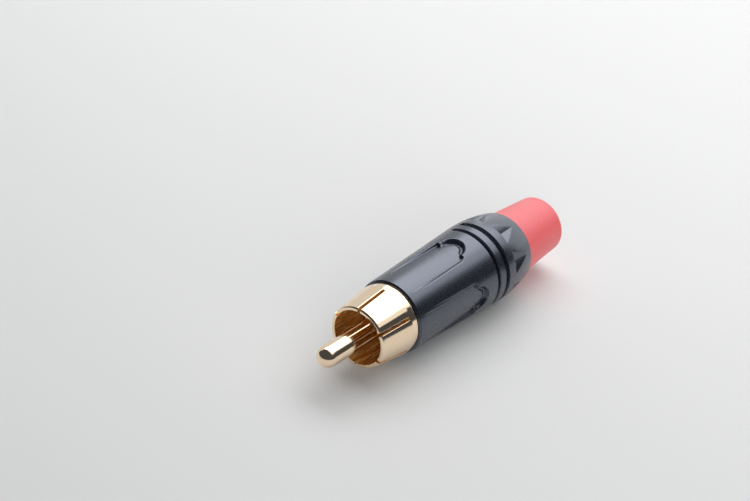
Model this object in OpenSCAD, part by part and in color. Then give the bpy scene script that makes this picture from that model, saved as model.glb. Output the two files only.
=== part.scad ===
// Phono cable plug that lies on its side, pin towards -Y, cable end towards +Y, up is +Z.
// The origin is on the pin's axis, in the plane of the crown's rim. All sizes are millimetres.
// A station is a distance along the axis, measured from the rim towards the cable end.

/* [Centre pin] */
// Diameter of the signal pin
pin_d = 3.2; // [2.8:0.05:3.6]
// How far the nose stands out of the crown's rim
pin_reach = 7.8; // [6:0.1:9]
// Diameter of the shank that passes through the insulator
shank_d = 2.6; // [2.2:0.05:2.8]
// Length of the shank behind the insulator
shank_tail = 4.4; // [3:0.1:5]
// Diameter of the solder cup's hole
cup_bore_d = 1.8; // [1.2:0.05:1.9]
// Depth of the solder cup
cup_depth = 3.6; // [2:0.1:4]

/* [Crown] */
// Diameter of the crown's bore
crown_bore_d = 8.3; // [8:0.05:8.6]
// Wall of the crown at its rim
crown_wall = 0.6; // [0.45:0.05:0.9]
// Length of the tapered part of the crown
crown_len = 5.8; // [5:0.1:7]
// Length of the band behind the crown
band_len = 1.3; // [1:0.1:2]
// How far the band stands out beyond the thread
band_step = 0.35; // [0.2:0.05:0.5]
// Number of saw cuts across the crown, each of which makes two slots
slot_cuts = 3; // [1:1:4]
// Width of a slot
slot_w = 0.5; // [0.3:0.05:0.8]
// How far a slot ends in front of the band
slot_land = 0.3; // [0.1:0.05:2]
// Turn of the first slot from the top
slot_turn = -3.5; // [-30:0.5:30]
// Chamfer on the crown's edges
crown_edge = 0.15; // [0.05:0.05:0.25]

/* [Ground contact] */
// Wall from the crown's bore to the crest of the thread, drawn without its ridges
spigot_wall = 0.95; // [0.8:0.05:1.2]
// Length of the threaded spigot
thread_len = 4.5; // [4.2:0.1:6]
// Width of the undercut beside the band
relief_w = 0.4; // [0.2:0.05:0.8]
// Depth of the undercut beside the band
relief_depth = 0.25; // [0.1:0.05:0.4]
// Length of the plain hub
hub_len = 1.4; // [1:0.1:2]
// Wall of the neck that carries the ground tag
neck_wall = 0.5; // [0.3:0.05:0.7]

/* [Insulator] */
// How far the insulator's face lies in front of the housing's seat
face_lead = 0.7; // [0.3:0.05:1]
// Thickness of the insulator's front disc
disc_t = 1.2; // [0.9:0.1:1.4]
// Diameter of the insulator's shank
bush_d = 5.8; // [5:0.1:6]
// How far the insulator stands out behind the neck
bush_tail = 0.4; // [0.2:0.1:1]

/* [Ground tag] */
// Thickness of the tag's sheet
tag_t = 0.6; // [0.3:0.05:0.7]
// How far the tag's ring stays inside the hub's edge
tag_step = 0.1; // [0.05:0.05:0.3]
// Angle of the solder tail, which is bent to a trough
tail_span = 150; // [90:1:180]
// Length of the solder tail
tail_len = 7.2; // [5:0.1:7.6]
// How far the tail lies inside the ring's edge
tail_inset = 0.1; // [0.05:0.05:0.2]
// Diameter of the hole in the solder tail
tail_hole_d = 1.2; // [0.8:0.1:1.5]

/* [Housing] */
// Length of the housing
housing_len = 26.8; // [24:0.1:30]
// Wall of the housing at its front edge
front_wall = 0.5; // [0.4:0.05:0.8]
// How much the radius grows from the front edge to the shoulder
swell = 0.8; // [0.6:0.05:1.1]
// Length of the rounded rear, from the shoulder to the mouth
rear_len = 7.7; // [7:0.1:9]
// How far the rear lip reaches in beyond the bore
lip_step = 0.2; // [0.1:0.05:0.3]
// Wall of the rear lip
lip_wall = 0.55; // [0.4:0.05:0.7]
// Length of the rear lip
lip_len = 1.5; // [1:0.1:1.8]
// Chamfer on the front edge
front_edge = 0.25; // [0.1:0.05:0.3]
// Radius on the edge of the rear mouth
mouth_edge = 0.25; // [0.1:0.05:0.3]

/* [Grip pockets] */
// Number of pockets around the housing
pocket_count = 4; // [2:1:4]
// Width of a pocket
pocket_w = 5.3; // [4:0.1:6]
// Distance from the tip of a pocket's arch to the front groove
pocket_gap = 2.4; // [1:0.1:5]
// Radius of the arch at the pocket's rear end
arch_r = 2.05; // [1.5:0.05:2.3]
// How far the arch's centre lies behind the straight sides
arch_step = 0.5; // [0.3:0.05:0.8]
// Radius of the small round shoulder at each side of the arch
shoulder_r = 0.35; // [0.2:0.05:0.5]
// Height of the pocket's floor above the front edge's radius
floor_rise = 0.05; // [0.03:0.01:0.1]

/* [Groove arcs] */
// How far the front groove lies in front of the shoulder
groove_lead = 1.45; // [1:0.05:2]
// Distance between the two grooves
groove_gap = 2; // [1.5:0.05:2.2]
// Width of a groove
groove_w = 0.72; // [0.4:0.02:0.9]
// Depth of a groove
groove_depth = 0.34; // [0.2:0.02:0.4]
// Angle of each of the two arcs
arc_span = 145; // [60:1:170]
// Direction of the middle of the first arc, from the top
arc_turn = 45; // [0:1:90]
// How much wider the round ends of a groove are than the groove, on the radius
end_swell = 0.02; // [0.01:0.01:0.05]

/* [Pits] */
// Number of three-sided pits around the rear
pit_count = 8; // [4:1:10]
// Distance from the tip of a pit to the mouth
pit_gap = 1.9; // [1.2:0.1:2.4]
// Width of a pit at its front edge
pit_w = 3.2; // [2:0.1:3.4]
// Length of a pit
pit_len = 3.2; // [2:0.1:3.4]
// Depth of a pit
pit_depth = 0.62; // [0.3:0.02:0.7]
// How far the deepest point lies behind the front edge of the pit
pit_toe = 0.5; // [0.3:0.05:1]

/* [Boot] */
// How far the boot's shoulder laps over the rear lip
boot_lap = 0.15; // [0.05:0.05:0.3]
// Diameter of the boot at its free end
boot_end_d = 8.84; // [8:0.02:9.6]
// Length of the boot outside the housing
boot_len = 9.7; // [7:0.1:14]
// Diameter of the cable bore
cable_d = 5.4; // [4:0.1:5.6]
// Radius on the edge of the free end
boot_edge = 0.6; // [0.2:0.05:0.8]
// Length of the boot's collar inside the housing
collar_len = 3.8; // [3:0.1:5]
// Wall of the collar at its front
collar_wall = 0.48; // [0.3:0.02:0.6]
// How much the radius of the collar's cone drops to its bottom
cone_drop = 0.65; // [0.4:0.05:0.9]
// Thickness of the collar's bottom, in front of the lip
collar_floor = 1; // [0.6:0.1:1.4]

/* [Chuck] */
// Wall of the chuck's skirt
skirt_t = 0.5; // [0.4:0.05:0.55]
// How far the skirt reaches beyond the tag's tail
skirt_spare = 1.45; // [0.5:0.05:2.5]
// Length of the solid ring behind the skirt
ring_len = 2; // [1:0.1:3]
// How far the jaws lie inside the skirt's outside
jaw_step = 0.38; // [0.2:0.02:0.5]
// Number of saw cuts across the jaws
jaw_cuts = 2; // [1:1:3]
// Width of a cut between the jaws
jaw_cut_w = 0.7; // [0.4:0.05:1]

/* [Clearances] */
// Radial play between the thread and the housing's bore
thread_play = 0.05; // [0.02:0.01:0.1]
// Radial play of pieces pressed or riveted together
seat_play = 0.02; // [0.01:0.01:0.04]
// Radial play of the boot and the chuck in the housing
slide_play = 0.07; // [0.03:0.01:0.1]
// Radial play of the chuck's skirt over the hub
hub_play = 0.18; // [0.05:0.01:0.3]
// Radial play of the open jaws around the cable
jaw_play = 0.1; // [0.05:0.01:0.3]
// Play along the axis between the chuck or boot and what stops it
end_play = 0.05; // [0.02:0.01:0.1]

/* [Hidden] */
$fn = 96;
over = 1;

// Stations along the axis
slot_len = crown_len - slot_land;
seat_at = crown_len + band_len;
face_depth = seat_at - face_lead;
thread_end = seat_at + thread_len;
hub_end = thread_end + hub_len;
neck_end = hub_end + tag_t + 0.1;
disc_end = face_depth + disc_t;
bush_end = neck_end + bush_tail;
cup_end = bush_end + shank_tail;
mouth_at = seat_at + housing_len;
shoulder_at = mouth_at - rear_len;
groove_at = shoulder_at - groove_lead;
pocket_end = groove_at - pocket_gap;
pit_at = mouth_at - pit_gap - pit_len;
tail_end = hub_end + tail_len;
lip_at = mouth_at - lip_len;
boot_end = mouth_at + end_play + boot_len;

// Radii shared by pieces that fit together
pin_r = pin_d / 2;
cable_r = cable_d / 2;
rim_r = crown_bore_d / 2 + crown_wall;
thread_r = crown_bore_d / 2 + spigot_wall;
band_r = thread_r + band_step;
bore_r = thread_r + thread_play;
sleeve_r = bore_r - slide_play;
hub_r = sleeve_r - skirt_t - hub_play;
neck_r = bush_d / 2 + neck_wall;
front_r = bore_r + front_wall;
body_r = front_r + swell;
lip_r = bore_r - lip_step;
mouth_r = lip_r + lip_wall;
boot_r = lip_r + boot_lap;

// The rear of the housing is one arc, tangent to the cone at the shoulder
cone_slope = swell / (shoulder_at - seat_at);
cone_angle = atan(cone_slope);
arc_drop = body_r - mouth_r;
rear_r = (rear_len ^ 2 + arc_drop ^ 2) / (2 * (rear_len * sin(cone_angle) + arc_drop * cos(cone_angle)));
rear_centre = [body_r - rear_r * cos(cone_angle), shoulder_at + rear_r * sin(cone_angle)];

// Outer radius of the housing at a station
function housing_r(s) = s < shoulder_at
    ? front_r + (s - seat_at) * cone_slope
    : rear_centre.x + sqrt(rear_r ^ 2 - (s - rear_centre.y) ^ 2);

// Stations of the boot's collar and of the chuck that seats in it
collar_end = lip_at - end_play;
collar_at = collar_end - collar_len;
cone_end = collar_end - collar_floor;
chuck_at = thread_end + end_play;
skirt_end = tail_end + skirt_spare;
jaw_at = skirt_end + ring_len;
cone_front_r = sleeve_r - collar_wall;
cone_rear_r = cone_front_r - cone_drop;
cone_taper = cone_drop / (cone_end - collar_at);
jaw_r = sleeve_r - jaw_step;
jaw_end = cone_end - end_play;
jaw_tip_r = cone_rear_r - slide_play;
jaw_taper_at = jaw_end - (jaw_r - jaw_tip_r) / cone_taper;
jaw_bore_r = cable_r + jaw_play;

// Stands the axis of revolution along +Y, with local -Y upwards
module lie_down() {
    rotate([-90, 0, 0]) children();
}

// Turns a feature that was built on local +X to a direction measured from the top
module at_angle(angle) {
    rotate([0, 0, angle - 90]) children();
}

// Turned crown, band, threaded spigot, hub and neck in one piece
module ground_contact() {
    color("goldenrod")
    lie_down()
    difference() {
        rotate_extrude() contact_section();
        for (cut = [0 : slot_cuts - 1])
            at_angle(slot_turn + cut * 180 / slot_cuts)
                translate([0, 0, (slot_len - over) / 2])
                    cube([3 * band_r, slot_w, slot_len + over], center = true);
    }
}

// Half section of the ground contact: radius, station
module contact_section() {
    polygon([
        [crown_bore_d / 2 + crown_edge, 0],
        [rim_r - crown_edge, 0],
        [rim_r, crown_edge],
        [band_r, crown_len],
        [band_r, seat_at - crown_edge],
        [band_r - crown_edge, seat_at],
        [thread_r - relief_depth, seat_at],
        [thread_r - relief_depth, seat_at + relief_w],
        [thread_r, seat_at + relief_w + relief_depth],
        [thread_r, thread_end - relief_depth],
        [thread_r - relief_depth, thread_end],
        [hub_r, thread_end],
        [hub_r, hub_end],
        [neck_r, hub_end],
        [neck_r, neck_end],
        [bush_d / 2, neck_end],
        [bush_d / 2, disc_end],
        [crown_bore_d / 2, disc_end],
        [crown_bore_d / 2, crown_edge]
    ]);
}

// Shouldered bush between the pin and the crown
module insulator() {
    disc_r = crown_bore_d / 2 - seat_play;
    tube_r = bush_d / 2 - seat_play;
    hole_r = shank_d / 2 + seat_play;
    color("ivory")
    lie_down()
    rotate_extrude()
        polygon([
            [hole_r, face_depth],
            [disc_r, face_depth],
            [disc_r, disc_end],
            [tube_r, disc_end],
            [tube_r, bush_end],
            [hole_r, bush_end]
        ]);
}

// Signal pin with a round nose and a half-open solder cup
module centre_pin() {
    nose_at = pin_r - pin_reach;
    cup_at = cup_end - cup_depth;
    color("gold")
    lie_down()
    difference() {
        union() {
            translate([0, 0, nose_at]) sphere(pin_r);
            translate([0, 0, nose_at]) cylinder(r = pin_r, h = face_depth - nose_at);
            translate([0, 0, nose_at]) cylinder(d = shank_d, h = cup_end - nose_at);
        }
        translate([0, 0, cup_at]) cylinder(d = cup_bore_d, h = cup_depth + over);
        at_angle(0)
            translate([0, -shank_d, cup_at + cup_bore_d / 2])
                cube([shank_d, 2 * shank_d, cup_depth + over]);
    }
}

// Stamped ring with a tail bent back to a trough for the cable's screen
module ground_tag() {
    ring_r = hub_r - tag_step;
    tail_r = ring_r - tail_inset;
    color("khaki")
    lie_down()
    difference() {
        union() {
            translate([0, 0, hub_end]) cylinder(r = ring_r, h = tag_t);
            at_angle(180)
                rotate([0, 0, -tail_span / 2])
                    rotate_extrude(angle = tail_span)
                        translate([tail_r - tag_t, hub_end]) square([tag_t, tail_len]);
        }
        translate([0, 0, hub_end - over]) cylinder(r = neck_r + seat_play, h = tag_t + 2 * over);
        at_angle(180)
            translate([tail_r - 2 * tag_t, 0, tail_end - tail_hole_d])
                rotate([0, 90, 0]) cylinder(d = tail_hole_d, h = 3 * tag_t);
    }
}

// Skirt over the solder joints, with slotted jaws that grip the cable
module chuck() {
    color("dimgray")
    lie_down()
    difference() {
        rotate_extrude()
            polygon([
                [sleeve_r - skirt_t, chuck_at],
                [sleeve_r, chuck_at],
                [sleeve_r, jaw_at],
                [jaw_r, jaw_at],
                [jaw_r, jaw_taper_at],
                [jaw_tip_r, jaw_end],
                [jaw_bore_r, jaw_end],
                [jaw_bore_r, skirt_end],
                [sleeve_r - skirt_t, skirt_end]
            ]);
        for (cut = [0 : jaw_cuts - 1])
            at_angle(45 + cut * 180 / jaw_cuts)
                translate([0, 0, (jaw_at + jaw_end + over) / 2])
                    cube([3 * jaw_r, jaw_cut_w, jaw_end - jaw_at + over], center = true);
    }
}

// Soft tapered boot, snapped into the rear lip by its neck
module boot() {
    color("crimson")
    lie_down()
    rotate_extrude() boot_section();
}

// Half section of the boot: radius, station
module boot_section() {
    throat_r = lip_r - thread_play;
    end_r = boot_end_d / 2;
    difference() {
        union() {
            polygon([
                [cable_r, collar_at],
                [sleeve_r, collar_at],
                [sleeve_r, collar_end],
                [throat_r, collar_end],
                [throat_r, mouth_at + end_play],
                [boot_r, mouth_at + end_play],
                [end_r, boot_end - boot_edge],
                [end_r - boot_edge, boot_end - boot_edge],
                [end_r - boot_edge, boot_end],
                [cable_r, boot_end]
            ]);
            translate([end_r - boot_edge, boot_end - boot_edge]) circle(boot_edge);
        }
        polygon([
            [0, collar_at - over],
            [cone_front_r + over * cone_taper, collar_at - over],
            [cone_rear_r, cone_end],
            [0, cone_end]
        ]);
    }
}

// Die-cast shell with grip pockets, groove arcs and pits
module housing() {
    color("#2c2e33")
    lie_down()
    difference() {
        rotate_extrude() housing_section();
        for (k = [0 : pocket_count - 1])
            at_angle(k * 360 / pocket_count) pocket_cutter();
        for (side = [0, 180], station = [groove_at, groove_at + groove_gap])
            at_angle(arc_turn + side) groove_cutter(station);
        for (k = [0 : pit_count - 1])
            at_angle((k + 0.5) * 360 / pit_count) pit_cutter(pit_at);
    }
}

// Half section of the housing: radius, station
module housing_section() {
    polygon([
        [bore_r, seat_at],
        [front_r - front_edge, seat_at],
        [housing_r(seat_at + front_edge), seat_at + front_edge],
        [body_r, shoulder_at],
        [bore_r, shoulder_at]
    ]);
    intersection() {
        translate(rear_centre) circle(rear_r, $fn = 720);
        polygon([
            [bore_r, shoulder_at - over],
            [body_r + over, shoulder_at - over],
            [body_r + over, shoulder_at],
            [body_r + over, mouth_at - mouth_edge],
            [mouth_r, mouth_at - mouth_edge],
            [mouth_r - mouth_edge, mouth_at],
            [lip_r, mouth_at],
            [lip_r, lip_at],
            [bore_r, lip_at]
        ]);
    }
}

// Pocket outline pulled out along its own radius, down to a round floor
module pocket_cutter() {
    difference() {
        rotate([0, 90, 0])
            linear_extrude(2 * body_r)
                pocket_outline();
        cylinder(r = front_r + floor_rise, h = mouth_at);
    }
}

// Straight sides with a round shoulder each, and an arch between the shoulders
module pocket_outline() {
    side_end = pocket_end - arch_r - arch_step;
    half = pocket_w / 2;
    translate([-side_end, -half]) square([side_end, pocket_w]);
    translate([-side_end - arch_step, 0]) circle(arch_r);
    translate([-side_end - shoulder_r, shoulder_r - half])
        square([shoulder_r + over, pocket_w - 2 * shoulder_r]);
    for (side = [-1, 1])
        translate([-side_end, side * (half - shoulder_r)]) circle(shoulder_r);
}

// Round-bottomed groove along an arc, with round ends; each ball's poles lie on the radius
module groove_cutter(station) {
    ball_r = (groove_w ^ 2 / 4 + groove_depth ^ 2) / (2 * groove_depth);
    path_r = housing_r(station) - groove_depth + ball_r;
    rotate([0, 0, -arc_span / 2])
        rotate_extrude(angle = arc_span)
            translate([path_r, station]) circle(ball_r);
    for (end = [-1, 1])
        rotate([0, 0, end * arc_span / 2])
            translate([path_r, 0, station]) rotate([0, 90, 0]) sphere(ball_r + end_swell);
}

// Three-sided pit: three faces that meet at the deepest point
module pit_cutter(station) {
    deep_at = station + pit_toe;
    deep = [housing_r(deep_at) - pit_depth, 0, deep_at];
    front_x = sqrt(housing_r(station) ^ 2 - (pit_w / 2) ^ 2);
    corners = [
        [front_x, -pit_w / 2, station],
        [front_x, pit_w / 2, station],
        [housing_r(station + pit_len), 0, station + pit_len]
    ];
    reach = 1.6;
    raised = [for (c = corners) deep + (c - deep) * reach];
    polyhedron(
        points = concat([deep], raised),
        faces = [[0, 1, 2], [0, 2, 3], [0, 3, 1], [1, 3, 2]]
    );
}

ground_contact();
insulator();
centre_pin();
ground_tag();
chuck();
boot();
housing();
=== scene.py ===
"""Looks of the phono plug: turned gold contacts, a die-cast black housing and a moulded red boot.

Sizes are in millimetres, as in the part's source, and become metres when a mesh is made. Lamps are in metres.
A station runs along the axis from the crown's rim to the cable end, which is the row's +Y.
An angle runs round the axis from the top, +Z, towards +X.
"""

import math

import bmesh
import bpy
import numpy as np
from mathutils import Matrix, Vector


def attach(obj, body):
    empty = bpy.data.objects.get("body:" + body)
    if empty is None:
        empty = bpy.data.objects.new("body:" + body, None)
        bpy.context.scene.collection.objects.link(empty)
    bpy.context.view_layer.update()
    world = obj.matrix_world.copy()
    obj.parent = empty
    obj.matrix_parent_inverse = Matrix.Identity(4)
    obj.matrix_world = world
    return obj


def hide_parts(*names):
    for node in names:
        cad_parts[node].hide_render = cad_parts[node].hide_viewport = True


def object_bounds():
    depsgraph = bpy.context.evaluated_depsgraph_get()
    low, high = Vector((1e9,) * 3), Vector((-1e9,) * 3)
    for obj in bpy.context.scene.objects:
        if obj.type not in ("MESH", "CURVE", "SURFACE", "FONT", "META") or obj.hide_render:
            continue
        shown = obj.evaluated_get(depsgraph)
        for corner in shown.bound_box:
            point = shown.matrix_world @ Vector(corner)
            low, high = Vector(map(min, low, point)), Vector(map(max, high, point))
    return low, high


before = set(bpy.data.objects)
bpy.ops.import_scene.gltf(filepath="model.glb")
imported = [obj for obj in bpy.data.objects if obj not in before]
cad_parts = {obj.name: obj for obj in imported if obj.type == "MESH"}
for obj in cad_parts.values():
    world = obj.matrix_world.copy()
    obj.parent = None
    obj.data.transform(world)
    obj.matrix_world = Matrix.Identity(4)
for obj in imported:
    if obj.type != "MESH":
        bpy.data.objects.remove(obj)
cad_low, cad_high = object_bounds()

MM = 0.001
TURN = 2 * math.pi
HAIR = 1e-6  # allowance when two stations are compared

# Centre pin
PIN_R = 1.6
PIN_NOSE = -7.8
PIN_EDGE = 0.1
PIN_ROWS = (-3.0, 2.0)
PIN_COLUMNS = 96
NOSE_STEPS = 20
SHANK_R = 1.3
CUP_R = 0.9
CUP_DEPTH = 3.6
CUP_END = 18.5

# Crown and ground contact
RIM_R = 4.75
RIM_OUTER_ROUND = 0.38
RIM_INNER_ROUND = 0.12
CROWN_BORE_R = 4.15
CROWN_LEN = 5.8
CROWN_ROWS = (0.9, 1.8, 2.8, 3.8, 4.6)
CROWN_BORE_ROWS = (4.6, 3.0, 1.4)
BORE_FINISH_LAP = 0.03  # how far the bore's finish climbs the rim's rounding
BAND_R = 5.45
BAND_END_R = 5.37
BAND_GAP = 0.22
BAND_GAP_R = 5.2
SEAT_AT = 7.1
SLOT_W = 0.5
SLOT_LEN = 5.5
SLOT_COUNT = 6
SLOT_TURN = math.radians(-3.5)
SLOT_EDGE = 0.07
SLOT_BESIDE = (0, 0.015, 0.035, 0.07, 0.16)
SLOT_STEPS = 4
FINGER_STEPS = 25
THREAD_R = 5.1
THREAD_END = 11.6
THREAD_PITCH = 1.0
THREAD_DEPTH = 0.42
THREAD_ROWS = 14  # in one pitch
THREAD_FLANK = 3.2
THREAD_CREST = 0.35
THREAD_FADE_IN = 0.35
THREAD_FADE_OUT = 0.5
RELIEF_R = 4.62
RELIEF_W = 0.45
HUB_R = 4.4
HUB_END = 13.0
HUB_EDGE = 0.1
NECK_R = 3.4
NECK_END = 13.7
BUSH_R = 2.9
BUSH_COLUMNS = 96
DISC_FACE = 6.4
DISC_END = 7.6
BUSH_END = 14.1
SEAT_PLAY = 0.02

# Housing
BORE_R = 5.15
BORE_FRONT = 9.0
BORE_REAR = 30.0
FRONT_R = 5.65
FRONT_EDGE = 0.25
FRONT_RISE = 0.01
FRONT_LAST = 0.07  # the front edge's rows end this far behind the edge
BODY_R = 6.45
SHOULDER_AT = 26.2
MOUTH_AT = 33.9
MOUTH_R = 5.5
MOUTH_EDGE = 0.25
MOUTH_LEAD = 32.0  # the mouth's rounding touches the chord from here
LIP_R = 4.95
LIP_AT = 32.4
POCKET_COUNT = 4
POCKET_HALF = 2.65
POCKET_SIDE_END = 19.8
POCKET_FLOOR_R = 5.7
POCKET_BEND = 0.02
POCKET_CORNER = 0.35
POCKET_WALL = 0.16
ARCH_R = 2.05
ARCH_AT = 20.3
ARCH_COVE = 0.4
ARCH_DIP = 0.2
ARCH_DIP_W = 0.85
ARCH_DIP_WALL = 0.3
ARCH_DIP_FADE = 0.6
SCORE_OFF = 0.16
SCORE_HALF = 0.13
SCORE_DEPTH = 0.07
SCORE_END_FADE = 0.5
SCORE_DROP_FADE = 0.3
GROOVES = ((24.75, 0.74), (26.75, 0.96))  # station and width
GROOVE_DEPTH = 0.58
GROOVE_WALL = 0.15
GROOVE_SPAN = math.radians(145)
GROOVE_TURN = math.radians(45)
PIT_COUNT = 8
PIT_AT = 28.8
PIT_LEN = 3.4
PIT_W = 3.7
PIT_DEPTH = 0.7
PIT_TOE = 0.28
PIT_CREASE = 0.08
PIT_EDGE = 0.05

# Rows along the housing's outside, and columns out from a pocket's middle: start, end and largest step.
# They are close together where a cut has an edge.
HOUSING_ROWS = (
    (SEAT_AT + FRONT_EDGE + 0.1, 8.6, 0.3), (8.6, 19.4, 0.7), (19.4, 22.5, 0.074), (22.5, 24.3, 0.26),
    (24.3, 25.2, 0.06), (25.2, 26.2, 0.25), (26.2, 27.3, 0.06), (27.3, 28.7, 0.28),
    (28.7, 29.3, 0.055), (29.3, 32.3, 0.115), (32.3, MOUTH_AT - MOUTH_EDGE - 0.08, 0.22))
POCKET_COLUMNS = ((0, 2.3, 0.095), (2.3, 3.0, 0.042), (3.0, 3.1, 0.1))
BETWEEN_STEPS = 15
COLUMN_R = 5.2  # columns keep the angles of this radius further in

# Boot
SLEEVE_R = 5.08
COLLAR_AT = 28.55
COLLAR_END = 32.35
CONE_FRONT_R = 4.6
CONE_REAR_R = 3.95
CONE_END = 31.35
THROAT_R = 4.9
BOOT_AT = 33.95
BOOT_R = 5.1
BOOT_END = 43.65
BOOT_END_R = 4.42
BOOT_EDGE = 0.6
BOOT_COLUMNS = 192
CABLE_R = 2.7

# Most of a noise texture's values lie between these
NOISE_LOW, NOISE_HIGH = 0.3, 0.7

# Lamps in metres. The overhead panes lie just above one another, so their light adds up towards the left.
OVERHEAD_FRONT = 0.016
OVERHEAD_PANES = (  # name, height, left, right, back, radiance
    ("overhead_wide", 0.32, -0.32, 0.304, 0.45, 0.9),
    ("overhead_half", 0.322, -0.32, 0.235, 0.45, 1.05),
    ("overhead_core", 0.324, -0.304, 0.064, 0.45, 1.05),
    ("overhead_side", 0.32, 0.304, 0.37, 0.31, 0.9))
CARDS = (  # name, place, aim, width, depth, radiance, whether it shines, whether it lights
    ("back_card", (-0.085, 0.6, 0.215), (-0.085, 0, 0.215), 0.83, 0.43, 1.3, True, False),
    ("left_card", (-0.6, 0.4, 0.3), (0, 0.4, 0.3), 1.0, 0.6, 0.65, True, True),
    ("shade_fill", (0.45, -0.3, 0.2), (0, 0.02, 0), 0.6, 0.36, 2.2, False, True))
FLOOR_REACH = 4.0

# Camera, read from the photograph with a fitted model of the plug
CAMERA_AT = (129.68, -177.2, 159.64)
CAMERA_FORWARD = (-0.4898, 0.6759, -0.5507)
CAMERA_RIGHT = (0.7660, 0.6353, 0.0985)
CAMERA_UP = (-0.4164, 0.3736, 0.8289)
CAMERA_LENS = 93.88


# Shapes

def around(radius, station, angle):
    """Points on circles about the axis: x is radius times sine, y the station, z radius times cosine."""
    radius, station, angle = np.broadcast_arrays(radius, station, angle)
    return np.stack([radius * np.sin(angle), station, radius * np.cos(angle)], axis=-1)


def grid_faces(rows, columns, loop_rows):
    """Four-sided faces of a grid that closes round its columns, and round its rows if loop_rows is set."""
    row = np.arange(rows if loop_rows else rows - 1)[:, None]
    column = np.arange(columns)[None, :]
    below = (row + 1) % rows
    beside = (column + 1) % columns
    corners = (row * columns + column, row * columns + beside, below * columns + beside, below * columns + column)
    return np.stack(np.broadcast_arrays(*corners), axis=-1)


def soften(corners, steps=6, guard=0.05):
    """A closed section with rounded corners.

    Each corner is radius, station and rounding. The rounding is an arc tangent to both sides, turned in equal
    steps from the first touching point to the second, with a guard point a little way along each long side.
    """
    corner = np.array(corners, float)
    place, rounding = corner[:, :2], corner[:, 2]
    line = []
    for here, before, after, size in zip(place, np.roll(place, 1, 0), np.roll(place, -1, 0), rounding):
        if size <= 0:
            line.append(here[None])
            continue
        reach_in, reach_out = np.linalg.norm(before - here), np.linalg.norm(after - here)
        side_in, side_out = (before - here) / reach_in, (after - here) / reach_out
        half = math.acos(np.clip(side_in @ side_out, -1, 1)) / 2
        touch = size / math.tan(half)
        middle = side_in + side_out
        centre = here + middle / np.linalg.norm(middle) * size / math.sin(half)
        first, last = here + side_in * touch - centre, here + side_out * touch - centre
        swing = math.acos(np.clip(first @ last / size ** 2, -1, 1))
        share = np.linspace(0, 1, steps + 1)[:, None]
        arc = centre + (np.sin((1 - share) * swing) * first + np.sin(share * swing) * last) / math.sin(swing)
        room = 3 * touch + 2 * guard
        if reach_in > room:
            line.append((here + side_in * (touch + guard))[None])
        line.append(arc)
        if reach_out > room:
            line.append((here + side_out * (touch + guard))[None])
    return np.vstack(line)


def turned(section, columns, loop=True):
    """A section of radius and station, turned once about the axis.

    A section that starts and ends on the axis has no loop.
    """
    angle = np.linspace(0, TURN, columns, endpoint=False)[None, :]
    points = around(section[:, :1], section[:, 1:], angle)
    return points.reshape(-1, 3), grid_faces(len(section), columns, loop)


def spaced(*runs):
    """Stations in several runs: each run is its start, its end and the largest step between them."""
    parts = [np.linspace(a, b, max(2, math.ceil((b - a) / step) + 1))[:-1] for a, b, step in runs]
    return np.concatenate([*parts, [runs[-1][1]]])


def smooth_step(x):
    """Nought below 0, one above 1, and 3x squared less 2x cubed between them."""
    x = np.clip(x, 0, 1)
    return x * x * (3 - 2 * x)


def soft_floor(x, size):
    """x where it is well above nought, nought where it is well below, and a parabola over the bend."""
    return np.where(x > size, x, np.where(x < -size, 0, (x + size) ** 2 / (4 * size)))


def soft_least(a, b, size):
    """The lesser of a and b, with the crease between them rounded over the size."""
    return a - soft_floor(a - b, size)


def from_middle(angle, middle):
    """Angle measured from a middle direction, between minus and plus half a turn."""
    return (angle - middle + math.pi) % TURN - math.pi


# Housing

CONE_SLOPE = (BODY_R - FRONT_R) / (SHOULDER_AT - SEAT_AT)
CONE_ANGLE = math.atan(CONE_SLOPE)
REAR_RUN = MOUTH_AT - SHOULDER_AT
REAR_DROP = BODY_R - MOUTH_R
REAR_R = (REAR_RUN ** 2 + REAR_DROP ** 2) / (
    2 * (REAR_RUN * math.sin(CONE_ANGLE) + REAR_DROP * math.cos(CONE_ANGLE)))
REAR_CENTRE_S = SHOULDER_AT + REAR_R * math.sin(CONE_ANGLE)
REAR_CENTRE_R = BODY_R - REAR_R * math.cos(CONE_ANGLE)


def bare_radius(station):
    """Radius of the housing without its cuts: a cone up to the shoulder, then an arc tangent to the cone."""
    cone = FRONT_R + (station - SEAT_AT) * CONE_SLOPE
    arc = REAR_CENTRE_R + np.sqrt(REAR_R ** 2 - np.clip(station - REAR_CENTRE_S, 0, REAR_RUN) ** 2)
    return np.where(station < SHOULDER_AT, cone, arc)


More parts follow.
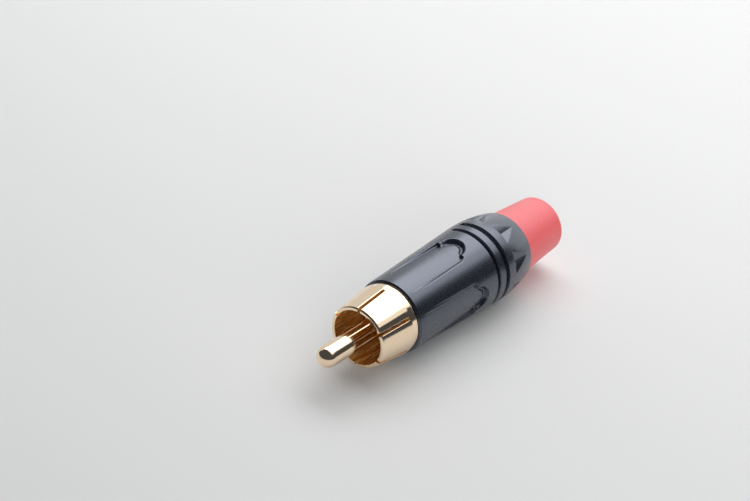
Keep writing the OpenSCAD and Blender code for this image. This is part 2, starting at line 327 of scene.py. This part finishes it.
def pocket_cut(station, angle):
    """Depth of the grip pockets.

    Seen along its own radius a pocket is a strip with round corners joined to a round arch. Inside the outline
    the surface drops to a round floor: steeply over the distance from the strip's sides, and as a cove, a parabola
    that is steep at its rim, over the distance from the arch. A smooth step sinks the floor a little round the
    arch. A fine score, a V in the distance, runs along the strip. It fades out where the strip ends and where the
    pocket is shallow.
    """
    outside = bare_radius(station)
    sector = TURN / POCKET_COUNT
    aside = np.abs(outside * np.sin(from_middle(angle, np.round(angle / sector) * sector)))
    beyond = aside - (POCKET_HALF - POCKET_CORNER)
    behind = station - POCKET_SIDE_END
    strip = np.hypot(np.maximum(beyond, 0), np.maximum(behind, 0))
    strip = strip + np.minimum(np.maximum(beyond, behind), 0) - POCKET_CORNER
    arch = np.hypot(aside, station - ARCH_AT) - ARCH_R
    drop = soft_floor(outside - POCKET_FLOOR_R, POCKET_BEND)
    dip = smooth_step((arch + ARCH_DIP_W) / ARCH_DIP_WALL) * smooth_step((station - ARCH_AT) / ARCH_DIP_FADE)
    floor = drop + ARCH_DIP * dip
    cove = 1 - (1 - np.clip(-arch / ARCH_COVE, 0, 1)) ** 2
    score = SCORE_DEPTH * np.maximum(1 - np.abs(strip - SCORE_OFF) / SCORE_HALF, 0)
    score = score * smooth_step(-behind / SCORE_END_FADE) * smooth_step(drop / SCORE_DROP_FADE)
    return floor * np.maximum(smooth_step(-strip / POCKET_WALL), cove) + score


def groove_cut(station, angle):
    """Depth of the groove arcs: a flat bottom with smooth-step walls, by the distance from an arc of a circle."""
    depth = np.zeros(np.broadcast(station, angle).shape)
    radius = bare_radius(station)
    for groove_at, groove_w in GROOVES:
        for middle in (GROOVE_TURN, GROOVE_TURN + math.pi):
            past_end = np.maximum(np.abs(from_middle(angle, middle)) - GROOVE_SPAN / 2, 0) * radius
            away = np.hypot(station - groove_at, past_end)
            depth = np.maximum(depth, smooth_step((groove_w / 2 - away) / GROOVE_WALL))
    return depth * GROOVE_DEPTH


def pit_cut(station, angle):
    """Depth of the three-sided pits: the least of three planes, a steep one in front and two at the sides.

    Every plane is nought along its edge of the triangle and reaches the full depth over the deepest point.
    """
    sector = TURN / PIT_COUNT
    aside = np.abs(bare_radius(station) * np.sin(from_middle(angle, (np.floor(angle / sector) + 0.5) * sector)))
    front = (station - PIT_AT) / PIT_TOE
    side = 1 - aside / (PIT_W / 2) - (station - PIT_AT) / PIT_LEN
    side = side / (1 - PIT_TOE / PIT_LEN)
    return soft_floor(PIT_DEPTH * soft_least(side, front, PIT_CREASE), PIT_EDGE)


def housing_angles(radius):
    """Angles of the columns at each radius.

    Near a pocket's middle they lie at fixed offsets from it, so that they follow the pocket's straight sides.
    Between two pockets they lie at equal shares of the angle that is left.
    """
    near = spaced(*POCKET_COLUMNS)
    near = np.concatenate([-near[:0:-1], near])
    share = np.linspace(0, 1, BETWEEN_STEPS + 1)[1:]
    inner = np.arcsin(near[None, :] / radius[:, None])
    limit = inner[:, -1:]
    sector = TURN / POCKET_COUNT
    outer = limit + share[None, :] * (sector / 2 - limit)
    one = np.concatenate([inner, outer, sector - outer[:, -2::-1]], axis=1)
    return np.concatenate([one + k * sector for k in range(POCKET_COUNT)], axis=1)


def housing_shell():
    """Die-cast shell: the bare outside less its cuts, a softened front edge, the mouth, the lip and the bore."""
    front = soften([
        (BORE_R, SEAT_AT, 0.06), (FRONT_R - FRONT_EDGE, SEAT_AT, 0.06),
        (FRONT_R + FRONT_RISE, SEAT_AT + FRONT_EDGE, 0.08), (bare_radius(BORE_FRONT), BORE_FRONT, 0),
        (BORE_R, BORE_FRONT, 0)], steps=4, guard=0.02)
    front = front[front[:, 1] < SEAT_AT + FRONT_EDGE + FRONT_LAST]
    outside = spaced(*HOUSING_ROWS)
    outside = np.column_stack([bare_radius(outside), outside])
    rear = soften([
        (bare_radius(MOUTH_LEAD), MOUTH_LEAD, 0), (MOUTH_R, MOUTH_AT, MOUTH_EDGE), (LIP_R, MOUTH_AT, 0.12),
        (LIP_R, LIP_AT, 0.08), (BORE_R, LIP_AT, 0), (BORE_R, BORE_REAR, 0), (BORE_R, BORE_FRONT, 0)])[1:]
    section = np.concatenate([front, outside, rear])
    angle = housing_angles(np.maximum(section[:, 0], COLUMN_R))
    radius = np.repeat(section[:, :1], angle.shape[1], axis=1)
    station = np.repeat(section[:, 1:], angle.shape[1], axis=1)
    cut = slice(len(front), len(front) + len(outside))
    for depth in (pocket_cut, groove_cut, pit_cut):
        radius[cut] -= depth(station[cut], angle[cut])
    points = around(radius, station, angle)
    return points.reshape(-1, 3), grid_faces(*radius.shape, True)


# Ground contact

def thread_ridge(station, angle):
    """Depth below the crest of a right-hand thread: a clipped triangle wave of station less turns times pitch."""
    phase = (station / THREAD_PITCH - angle / TURN) % 1
    flank = np.clip(np.abs(phase - 0.5) * THREAD_FLANK - THREAD_CREST, 0, 1)
    start = smooth_step((station - SEAT_AT - RELIEF_W) / THREAD_FADE_IN)
    end = smooth_step((THREAD_END - station) / THREAD_FADE_OUT)
    return THREAD_DEPTH * (1 - np.minimum(start, end) * (1 - flank))


def contact_columns(radius, slotted):
    """Angles of the columns at each radius, how far slot edges are rounded off there, and the columns in a slot.

    Beside a slot the columns lie at fixed offsets from its middle plane, so its walls are flat and parallel.
    Between two slots they lie at equal shares of the angle that is left. The rounding is a quarter circle.
    """
    beside = np.array(SLOT_BESIDE)
    sector = TURN / SLOT_COUNT
    round_off = SLOT_EDGE - np.sqrt(SLOT_EDGE ** 2 - np.maximum(SLOT_EDGE - beside, 0) ** 2)
    round_off = round_off[None, :] * slotted[:, None]
    edge = np.arcsin((SLOT_W / 2 + beside[None, :]) / (radius[:, None] - round_off))
    share = np.linspace(0, 1, FINGER_STEPS + 1)[None, 1:-1]
    middle = edge[:, -1:] + share * (sector - 2 * edge[:, -1:])
    across = edge[:, :1] * np.linspace(-1, 1, SLOT_STEPS + 1)[None, 1:-1]
    one = np.concatenate([across, edge, middle, sector - edge[:, ::-1]], axis=1)
    drop = np.concatenate([np.zeros_like(across), round_off, np.zeros_like(middle), round_off[:, ::-1]], axis=1)
    angle = np.concatenate([one + k * sector for k in range(SLOT_COUNT)], axis=1) + SLOT_TURN
    return angle, np.tile(drop, (1, SLOT_COUNT)), across.shape[1]


def contact_section():
    """Section of the ground contact, from the rim over crown, band and thread to the neck, then back in the bore.

    It comes in three runs, of which the middle one is the thread.
    """
    slope = (BAND_R - RIM_R) / CROWN_LEN
    rim = soften([
        (CROWN_BORE_R, CROWN_LEN, 0), (CROWN_BORE_R, 0, RIM_INNER_ROUND),
        (RIM_R, 0, RIM_OUTER_ROUND), (BAND_R, CROWN_LEN, 0)], steps=7)[1:-1]
    crown = np.array([(RIM_R + slope * station, station) for station in (*CROWN_ROWS, SLOT_LEN)])
    band = soften([
        (RIM_R, 0, 0), (BAND_R, CROWN_LEN, 0.5), (BAND_END_R, SEAT_AT - BAND_GAP, 0.08),
        (BAND_GAP_R, SEAT_AT - BAND_GAP, 0.03), (BAND_GAP_R, SEAT_AT, 0), (RELIEF_R, SEAT_AT, 0)])[1:]
    thread = np.arange(SEAT_AT + RELIEF_W, THREAD_END, THREAD_PITCH / THREAD_ROWS)
    thread = np.column_stack([np.full_like(thread, THREAD_R), thread])
    tail = np.array([
        (RELIEF_R, THREAD_END), (HUB_R, THREAD_END), (HUB_R, HUB_END - HUB_EDGE), (HUB_R - HUB_EDGE, HUB_END),
        (NECK_R, HUB_END), (NECK_R, NECK_END), (BUSH_R, NECK_END), (BUSH_R, DISC_END), (CROWN_BORE_R, DISC_END),
        *[(CROWN_BORE_R, station) for station in (SLOT_LEN, *CROWN_BORE_ROWS)]])
    return np.concatenate([rim, crown, band]), thread, tail


def contact_shell():
    """Crown, band, thread, hub and neck as one turned shell, with the slots' faces left out and walled.

    The results are the points, the faces, the slots' walls, and true for each face of the crown's bore.
    """
    front, thread, tail = contact_section()
    section = np.concatenate([front, thread, tail])
    radius, station = section[:, 0], section[:, 1]
    slotted = station < SLOT_LEN - HAIR
    reaches = station < SLOT_LEN + HAIR
    angle, drop, slot_columns = contact_columns(radius, slotted)
    rows, columns = angle.shape
    outward = np.where(np.arange(rows) < len(front), 1.0, -1.0)[:, None]
    full = np.repeat(radius[:, None], columns, axis=1) - drop * outward
    along = np.repeat(station[:, None], columns, axis=1)
    ridged = slice(len(front), len(front) + len(thread))
    full[ridged] -= thread_ridge(along[ridged], angle[ridged])
    points = around(full, along, angle).reshape(-1, 3)

    per_sector = columns // SLOT_COUNT
    column = np.arange(columns) % per_sector
    over_slot = (column < slot_columns) | (column == per_sector - 1)
    open_row = reaches & np.roll(reaches, -1)
    keep = ~(open_row[:, None] & over_slot[None, :])
    bore = (radius < CROWN_BORE_R + BORE_FINISH_LAP) & (radius > BUSH_R) & (station < DISC_END + HAIR)
    in_bore = np.repeat((bore & np.roll(bore, -1))[:, None], columns, axis=1)

    # The rows that a slot cuts, from its end in the bore, over the rim, to its end outside
    loop = np.flatnonzero(reaches)
    loop = np.roll(loop, -np.flatnonzero(np.diff(loop) > 1)[0] - 1)
    walls = []
    for k in range(SLOT_COUNT):
        after = k * per_sector + slot_columns
        before = (k * per_sector - 1) % columns
        walls.append(loop * columns + after)
        walls.append(loop[::-1] * columns + before)
        gap = np.concatenate([[before], np.arange(k * per_sector, after + 1)])
        walls.append(np.concatenate([loop[-1] * columns + gap, loop[0] * columns + gap[::-1]]))
    return points, grid_faces(rows, columns, True)[keep], walls, in_bore[keep]


# Other pieces

def pin_shell():
    """Signal pin: a round nose, the straight pin, the shank and a solder cup whose upper half is cut away.

    The whole cup is turned, then the faces of its upper half are left out. A step closes the gap at the cut's
    front, and a flat edge closes it along each side.
    """
    nose = np.linspace(0, math.pi / 2, NOSE_STEPS + 1)
    nose = np.column_stack([PIN_R * np.sin(nose), PIN_NOSE + PIN_R - PIN_R * np.cos(nose)])
    body = np.array([
        *[(PIN_R, station) for station in PIN_ROWS], (PIN_R, DISC_FACE - PIN_EDGE),
        (PIN_R - PIN_EDGE, DISC_FACE), (SHANK_R, DISC_FACE), (SHANK_R, BUSH_END)])
    cup_at = CUP_END - CUP_DEPTH
    open_at = cup_at + CUP_R
    cup = np.array([
        (SHANK_R, open_at), (SHANK_R, CUP_END), (CUP_R, CUP_END), (CUP_R, open_at), (CUP_R, cup_at), (0, cup_at)])
    points, faces = turned(np.concatenate([nose, body, cup]), PIN_COLUMNS, loop=False)
    quarter = PIN_COLUMNS // 4
    first = len(nose) + len(body)
    column = np.arange(PIN_COLUMNS)
    upper = (column < quarter) | (column >= 3 * quarter)
    cut = np.zeros(faces.shape[:2], bool)
    cut[first:first + 3] = upper
    outer, inner = first * PIN_COLUMNS, (first + 3) * PIN_COLUMNS
    beside = (column + 1) % PIN_COLUMNS
    step = np.stack([outer + column, outer + beside, inner + beside, inner + column], axis=-1)[upper]
    edges = (first + np.arange(4))[None, :] * PIN_COLUMNS + np.array([[quarter], [3 * quarter]])
    return points, np.concatenate([faces[~cut], step, edges])


def insulator_shell():
    """Shouldered bush: a disc in the crown's bore and a tube through the neck, turned about the axis."""
    hole, disc, tube = SHANK_R + SEAT_PLAY, CROWN_BORE_R - SEAT_PLAY, BUSH_R - SEAT_PLAY
    return turned(soften([
        (hole, DISC_FACE, 0), (disc, DISC_FACE, 0.12), (disc, DISC_END, 0.05), (tube, DISC_END, 0),
        (tube, BUSH_END, 0.1), (hole, BUSH_END, 0.05)]), BUSH_COLUMNS)


def boot_shell():
    """Moulded boot, turned about the axis: a collar with a cone seat, a throat, a long taper and a cable bore."""
    return turned(soften([
        (CONE_FRONT_R, COLLAR_AT, 0.06), (SLEEVE_R, COLLAR_AT, 0.1), (SLEEVE_R, COLLAR_END, 0.05),
        (THROAT_R, COLLAR_END, 0), (THROAT_R, BOOT_AT, 0), (BOOT_R, BOOT_AT, 0.09),
        (BOOT_END_R, BOOT_END, BOOT_EDGE), (CABLE_R, BOOT_END, 0.2), (CABLE_R, CONE_END, 0),
        (CONE_REAR_R, CONE_END, 0.1)], steps=9), BOOT_COLUMNS)


def lay_piece(name, points, faces, body, stands_for, slot_name, *finishes, sharp=34, extra=(), second=None):
    """Puts a mesh at the origin in metres, smooth but for edges sharper than the angle, and hangs it on its body.

    Points that no face uses are left out. The faces that second marks, and all extra ones, take the second finish.
    """
    faces = faces.reshape(-1, 4)
    used = np.unique(np.concatenate([faces.ravel(), *extra]))
    renumber = np.full(len(points), -1)
    renumber[used] = np.arange(len(used))
    polygons = renumber[faces].tolist() + [renumber[wall].tolist() for wall in extra]
    mesh = bpy.data.meshes.new(name)
    mesh.from_pydata((points[used] * MM).tolist(), [], polygons)
    for finish in finishes:
        mesh.materials.append(finish)
    if second is not None:
        marked = np.concatenate([second, np.ones(len(extra), bool)])
        mesh.polygons.foreach_set("material_index", marked.astype(np.int32))
    work = bmesh.new()
    work.from_mesh(mesh)
    bmesh.ops.remove_doubles(work, verts=work.verts, dist=1e-8)
    bmesh.ops.recalc_face_normals(work, faces=work.faces)
    work.to_mesh(mesh)
    work.free()
    mesh.shade_smooth()
    mesh.set_sharp_from_angle(angle=math.radians(sharp))
    piece = bpy.data.objects.new(name, mesh)
    bpy.context.scene.collection.objects.link(piece)
    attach(piece, body)
    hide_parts(stands_for)
    return piece


# Finishes

def colour(text):
    """Linear colour of an sRGB hex value."""
    part = np.array([int(text[k:k + 2], 16) for k in (1, 3, 5)]) / 255
    linear = np.where(part <= 0.04045, part / 12.92, ((part + 0.055) / 1.055) ** 2.4)
    return (*linear.tolist(), 1.0)


def per_metre(size_mm):
    """Scale of a texture whose grains are that many millimetres apart."""
    return 1000 / size_mm


def add(tree, kind, settings=None, **sockets):
    """Adds a node, sets its properties, then fills or links its sockets by name, or by number after a _."""
    made = tree.nodes.new(kind)
    for name, value in (settings or {}).items():
        setattr(made, name, value)
    for name, value in sockets.items():
        key = int(name[1:]) if name[0] == "_" and name[1:].isdigit() else name.replace("_", " ")
        if isinstance(value, bpy.types.NodeSocket):
            tree.links.new(value, made.inputs[key])
        else:
            made.inputs[key].default_value = value
    return made


def new_finish(name):
    """An empty material with a shader and its output; returns it, its tree, the shader and Object coordinates."""
    material = bpy.data.materials.new(name)
    material.use_nodes = True
    tree = material.node_tree
    tree.nodes.clear()
    shader = add(tree, "ShaderNodeBsdfPrincipled")
    add(tree, "ShaderNodeOutputMaterial", Surface=shader.outputs["BSDF"])
    return material, tree, shader, add(tree, "ShaderNodeTexCoord").outputs["Object"]


def dress(tree, shader, tint, dark, light,
          gloss=None, smooth=0.0, rough=1.0, relief=None, strength=0.0, height=0.0):
    """Leads patterns to a shader: tint mixes two colours, gloss runs from smooth to rough, and relief is a bump.

    The bump's height is in millimetres. Mix has sockets for each type of data, so its colours go by number.
    """
    mixed = add(tree, "ShaderNodeMix", {"data_type": "RGBA"}, Factor=tint, _6=colour(dark), _7=colour(light))
    tree.links.new(mixed.outputs[2], shader.inputs["Base Color"])
    if gloss is not None:
        spread = add(tree, "ShaderNodeMapRange", Value=gloss, From_Min=NOISE_LOW, From_Max=NOISE_HIGH,
                     To_Min=smooth, To_Max=rough)
        tree.links.new(spread.outputs["Result"], shader.inputs["Roughness"])
    if relief is not None:
        bump = add(tree, "ShaderNodeBump", Strength=strength, Distance=height * MM, Height=relief)
        tree.links.new(bump.outputs["Normal"], shader.inputs["Normal"])


def polished_gold_plate():
    """Gold plate over turned brass: mirror bright, with faint rings from the lathe tool round the axis."""
    material, tree, shader, place = new_finish("polished_gold_plate")
    cloud = add(tree, "ShaderNodeTexNoise", Vector=place, Scale=per_metre(2.5), Detail=3.0).outputs["Fac"]
    # Tool marks on the real part are about 0.03 mm apart; drawn at 0.16 mm so that they show at all
    rings = add(tree, "ShaderNodeTexWave", {"wave_type": "BANDS", "bands_direction": "Y"}, Vector=place,
                Scale=per_metre(0.16) / TURN, Distortion=0.6, Detail=2.0, Detail_Scale=2.0).outputs["Fac"]
    dress(tree, shader, cloud, "#F4DAB8", "#F8E2C6", cloud, 0.07, 0.13, rings, 0.05, 0.01)
    shader.inputs["Metallic"].default_value = 1.0
    return material


def bore_gold_with_painted_reflections():
    """Gold in a reamed bore, streaked along the axis, with painted reflection: both colours are a deep amber for
    light bounced many times between the crown's gold walls.
    """
    material, tree, shader, place = new_finish("bore_gold_with_painted_reflections")
    # The reamer's scratches are a few hundredths of a millimetre apart; drawn at 0.6 mm so that they show
    drawn_out = add(tree, "ShaderNodeMapping", Vector=place, Scale=(1.0, 0.15, 1.0)).outputs["Vector"]
    streak = add(tree, "ShaderNodeTexNoise", Vector=drawn_out, Scale=per_metre(0.6), Detail=2.0).outputs["Fac"]
    streak_tint = add(tree, "ShaderNodeMapRange", Value=streak, From_Min=NOISE_LOW, From_Max=NOISE_HIGH).outputs["Result"]
    # Painted reflection: the deep amber of both colours stands for light bounced many times inside the crown; the
    # streaks swing it between dark and pale.
    dress(tree, shader, streak_tint, "#DC8A28", "#FFD283", streak, 0.16, 0.36, streak, 0.25, 0.04)
    shader.inputs["Metallic"].default_value = 0.65
    return material


def satin_black_paint():
    """Black stove paint on a zinc casting: a satin sheen with a painted cool tint for a bluish light, broken up by
    a fine, even grain.
    """
    material, tree, shader, place = new_finish("satin_black_paint")
    cloud = add(tree, "ShaderNodeTexNoise", Vector=place, Scale=per_metre(3.0), Detail=4.0).outputs["Fac"]
    # The paint's own grain is about 0.05 mm; drawn at 0.14 mm so that it shows at the edge of a highlight
    grain = add(tree, "ShaderNodeTexNoise", Vector=place, Scale=per_metre(0.14), Detail=1.0).outputs["Fac"]
    dress(tree, shader, cloud, "#0B0C0E", "#101116", grain, 0.24, 0.3, grain, 0.09, 0.03)
    shader.inputs["IOR"].default_value = 1.65
    shader.inputs["Specular IOR Level"].default_value = 1.0
    # Painted light: the blue tint of the sheen stands for a bluish light on the plug.
    shader.inputs["Specular Tint"].default_value = colour("#E1EAFF")
    return material


def satin_red_vinyl():
    """Soft moulded vinyl: coral red, half gloss, with a little light carried inside it."""
    material, tree, shader, place = new_finish("satin_red_vinyl")
    cloud = add(tree, "ShaderNodeTexNoise", Vector=place, Scale=per_metre(4.0), Detail=3.0).outputs["Fac"]
    grain = add(tree, "ShaderNodeTexNoise", Vector=place, Scale=per_metre(0.25), Detail=2.0).outputs["Fac"]
    dress(tree, shader, cloud, "#E65857", "#EC6261", grain, 0.36, 0.46, grain, 0.1, 0.02)
    shader.inputs["Specular IOR Level"].default_value = 1.0
    # Painted light: the blue tint of the sheen stands for a bluish light on the plug.
    shader.inputs["Specular Tint"].default_value = colour("#ECEFFF")
    shader.inputs["Subsurface Weight"].default_value = 0.25
    shader.inputs["Subsurface Radius"].default_value = (1.0, 0.15, 0.1)
    shader.inputs["Subsurface Scale"].default_value = 1.2 * MM
    return material


def moulded_plastic(name, dark, light):
    """Moulded plastic: nearly matt, with a faint cloudy grain from the mould."""
    material, tree, shader, place = new_finish(name)
    cloud = add(tree, "ShaderNodeTexNoise", Vector=place, Scale=per_metre(0.8), Detail=3.0).outputs["Fac"]
    dress(tree, shader, cloud, dark, light, cloud, 0.45, 0.6, cloud, 0.15, 0.02)
    return material


def stamped_brass():
    """Plated brass strip: straight roll marks along the sheet and a duller shine than the turned parts."""
    material, tree, shader, place = new_finish("stamped_brass")
    drawn_out = add(tree, "ShaderNodeMapping", Vector=place, Scale=(1.0, 0.12, 1.0)).outputs["Vector"]
    roll = add(tree, "ShaderNodeTexNoise", Vector=drawn_out, Scale=per_metre(0.4), Detail=3.0).outputs["Fac"]
    dress(tree, shader, roll, "#D2B376", "#E2C890", roll, 0.22, 0.35)
    shader.inputs["Metallic"].default_value = 1.0
    return material


def pale_matt_floor():
    """Pale matt table top: nearly even, with clouds an eighth of a metre wide and hardly any shine."""
    material, tree, shader, place = new_finish("pale_matt_floor")
    cloud = add(tree, "ShaderNodeTexNoise", Vector=place, Scale=per_metre(125), Detail=2.0).outputs["Fac"]
    dress(tree, shader, cloud, "#DEDEDD", "#E2E2E1")
    shader.inputs["Roughness"].default_value = 0.9
    shader.inputs["Specular IOR Level"].default_value = 0.1
    return material


# Assembly

gold = polished_gold_plate()
points, faces, walls, in_bore = contact_shell()
lay_piece("turned_crown", points, faces, "contacts", "ground_contact", "gold_plate", gold, bore_gold_with_painted_reflections(),
          extra=walls, second=in_bore)
lay_piece("signal_pin", *pin_shell(), "contacts", "centre_pin", "gold_plate", gold)
lay_piece("pin_bush", *insulator_shell(), "contacts", "insulator", "insulator_plastic",
          moulded_plastic("moulded_ivory_acetal", "#E2D9C4", "#EBE3D1"))
lay_piece("cast_housing", *housing_shell(), "housing", "housing", "black_paint", satin_black_paint(), sharp=60)
lay_piece("cable_boot", *boot_shell(), "cable_grip", "boot", "boot_plastic", satin_red_vinyl())

for node_name, finish in (
        ("ground_tag", stamped_brass()), ("chuck", moulded_plastic("moulded_black_nylon", "#101113", "#1A1B1E"))):
    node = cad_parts[node_name]
    node.data.materials.clear()
    node.data.materials.append(finish)


# Floor, light and camera

def table_top():
    """Flat square under the plug, wide enough to reach past the edge of every view."""
    mesh = bpy.data.meshes.new("floor")
    reach, low = FLOOR_REACH, cad_low.z
    mesh.from_pydata([(-reach, -reach, low), (reach, -reach, low), (reach, reach, low), (-reach, reach, low)],
                     [], [(0, 1, 2, 3)])
    mesh.materials.append(pale_matt_floor())
    floor = bpy.data.objects.new("floor", mesh)
    bpy.context.scene.collection.objects.link(floor)


def soft_box(name, place, aim, width, depth, radiance, shines=True, lights=True):
    """Rectangular lamp that faces a point; its power is radiance times pi times its area.

    One that doesn't shine fills in shade without showing in polished metal, as a far, broad wall would. One that
    doesn't light is a card that only glossy surfaces show.
    """
    lamp = bpy.data.lights.new(name, "AREA")
    lamp.shape = "RECTANGLE"
    lamp.size, lamp.size_y = width, depth
    lamp.energy = radiance * math.pi * width * depth
    holder = bpy.data.objects.new(name, lamp)
    bpy.context.scene.collection.objects.link(holder)
    holder.location = place
    holder.rotation_euler = (Vector(aim) - Vector(place)).to_track_quat("-Z", "Y").to_euler()
    holder.visible_camera = False
    holder.visible_glossy = shines
    holder.visible_diffuse = lights


def studio():
    """A soft box overhead, brightest on its left, cards behind and at the left, a fill for shade, a dim room."""
    for name, height, left, right, back, radiance in OVERHEAD_PANES:
        middle, deep = (left + right) / 2, (OVERHEAD_FRONT + back) / 2
        soft_box(name, (middle, deep, height), (middle, deep, 0), right - left, back - OVERHEAD_FRONT, radiance)
    for card in CARDS:
        soft_box(*card)
    world = bpy.data.worlds.new("grey_room")
    world.use_nodes = True
    tree = world.node_tree
    tree.nodes.clear()
    sky = add(tree, "ShaderNodeBackground", Color=colour("#484B51"), Strength=1.0)
    add(tree, "ShaderNodeOutputWorld", Surface=sky.outputs["Background"])
    bpy.context.scene.world = world


def photo_camera():
    """Camera of the photograph: its place and three directions as columns of a turn."""
    lens = bpy.data.cameras.new("camera")
    lens.sensor_width = 36.0
    lens.lens = CAMERA_LENS
    lens.clip_start, lens.clip_end = 0.01, 20.0
    camera = bpy.data.objects.new("camera", lens)
    bpy.context.scene.collection.objects.link(camera)
    back = -np.array(CAMERA_FORWARD)
    turn = Matrix(np.column_stack([CAMERA_RIGHT, CAMERA_UP, back]).tolist())
    camera.matrix_world = Matrix.Translation(np.array(CAMERA_AT) * MM) @ turn.to_4x4()
    bpy.context.scene.camera = camera


table_top()
studio()
photo_camera()
bpy.context.scene.view_settings.view_transform = "Standard"
